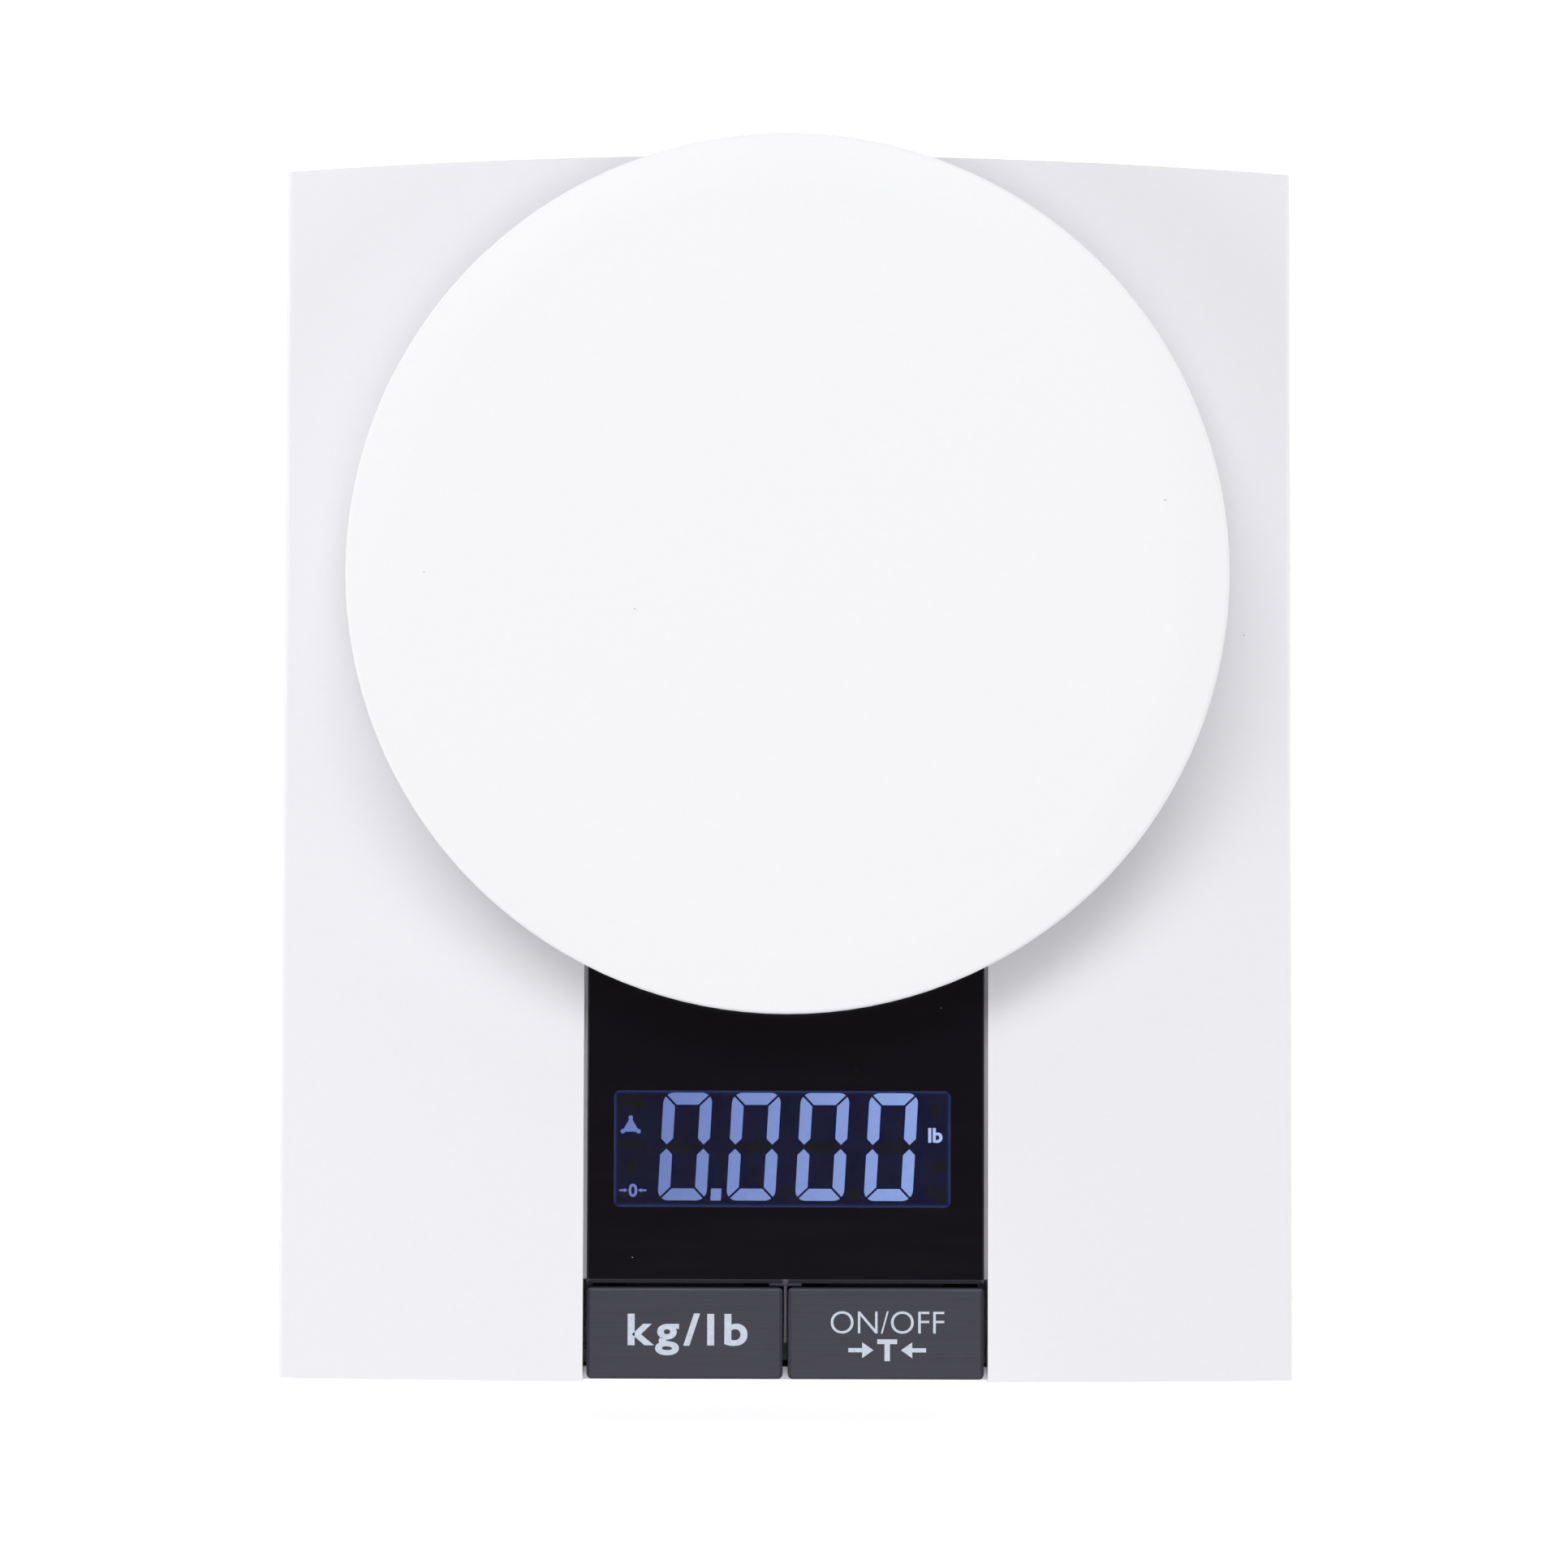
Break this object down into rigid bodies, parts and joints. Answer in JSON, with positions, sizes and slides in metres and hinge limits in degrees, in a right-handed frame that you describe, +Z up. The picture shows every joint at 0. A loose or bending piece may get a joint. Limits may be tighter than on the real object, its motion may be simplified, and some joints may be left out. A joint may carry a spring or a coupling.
{
  "type": "digital kitchen scale",
  "caption": "Flat white kitchen scale: a round platform on a load cell over an arched case, with a sunk black display panel and wide press keys at the front edge.",
  "frame": {"origin": "on the table, at the middle of the footprint", "axes": "+Z up; the front edge with the keys faces -Y; +X to the right of a user in front"},
  "size_m": [0.175, 0.2126, 0.038],
  "materials": {
    "cover_white": "gloss white moulding",
    "platform_white": "satin white moulding",
    "base_white": "fine matt white moulding",
    "carrier_grey": "matt light grey moulding",
    "panel_black": "polished black",
    "window_clear": "clear, polished",
    "display_navy": "dark negative display",
    "backlight_white": "diffuse white",
    "frame_white": "matt white",
    "contact_rubber": "soft",
    "tape_grey": "foam tape",
    "key_grey": "dark, with a fine hairline finish",
    "board_green": "solder-resist green",
    "resin_black": "matt resin",
    "part_dark": "moulded",
    "socket_ivory": "moulded",
    "beam_alloy": "milled",
    "gauge_white": "soft coating",
    "plate_steel": "zinc-plated",
    "screw_steel": "zinc-plated",
    "contact_nickel": "nickel-plated",
    "foot_rubber": "soft grey",
    "cell_jacket": "plain jacket",
    "cable_grey": "matt sleeve",
    "lead_red": "insulation"
  },
  "bodies": {
    "base": {"top_cover": "cover_white", "bottom_cover": "base_white", "load_cell": "beam_alloy", "gauge_coating": "gauge_white", "cell_plate": "plate_steel", "cell_screws": "screw_steel", "overload_stop": "screw_steel", "display_panel": "panel_black", "display_window": "window_clear", "panel_tape": "tape_grey", "lcd_glass": "display_navy", "lcd_backlight": "backlight_white", "lcd_frame": "frame_white", "contact_strips": "contact_rubber", "circuit_board": "board_green", "controller_chip": "resin_black", "board_parts": "part_dark", "sensor_socket": "socket_ivory", "power_socket": "socket_ivory", "unit_switch": "part_dark", "tare_switch": "part_dark", "board_screws": "screw_steel", "case_screws": "screw_steel", "rubber_feet": "foot_rubber", "battery_cells": "cell_jacket", "battery_link": "contact_nickel", "battery_terminals": "contact_nickel", "battery_springs": "contact_nickel", "sensor_cable": "cable_grey", "battery_leads": "lead_red"},
    "platform": {"platform": "platform_white", "platform_carrier": "carrier_grey", "carrier_screws": "screw_steel"},
    "unit_key": {"unit_key": "key_grey", "unit_plunger": "resin_black"},
    "tare_key": {"tare_key": "key_grey", "tare_plunger": "resin_black"},
    "battery_door": {"battery_door": "base_white"}
  },
  "joints": [
    {"name": "platform_load", "type": "slide", "parent": "base", "child": "platform", "axis": [0, 0, -1], "range_m": [0, 0.0005], "stiffness_N_per_m": 60000, "deforming": ["load_cell"]},
    {"name": "unit_key_press", "type": "slide", "parent": "base", "child": "unit_key", "axis": [0, 0, -1], "range_m": [0, 0.0005], "stiffness_N_per_m": 3000},
    {"name": "tare_key_press", "type": "slide", "parent": "base", "child": "tare_key", "axis": [0, 0, -1], "range_m": [0, 0.0005], "stiffness_N_per_m": 3000},
    {"name": "battery_door_swing", "type": "hinge", "parent": "base", "child": "battery_door", "pos_m": [0.02875, -0.00013, 0.003], "axis": [-1, 0, 0], "range_deg": [0, 75]}
  ]
}
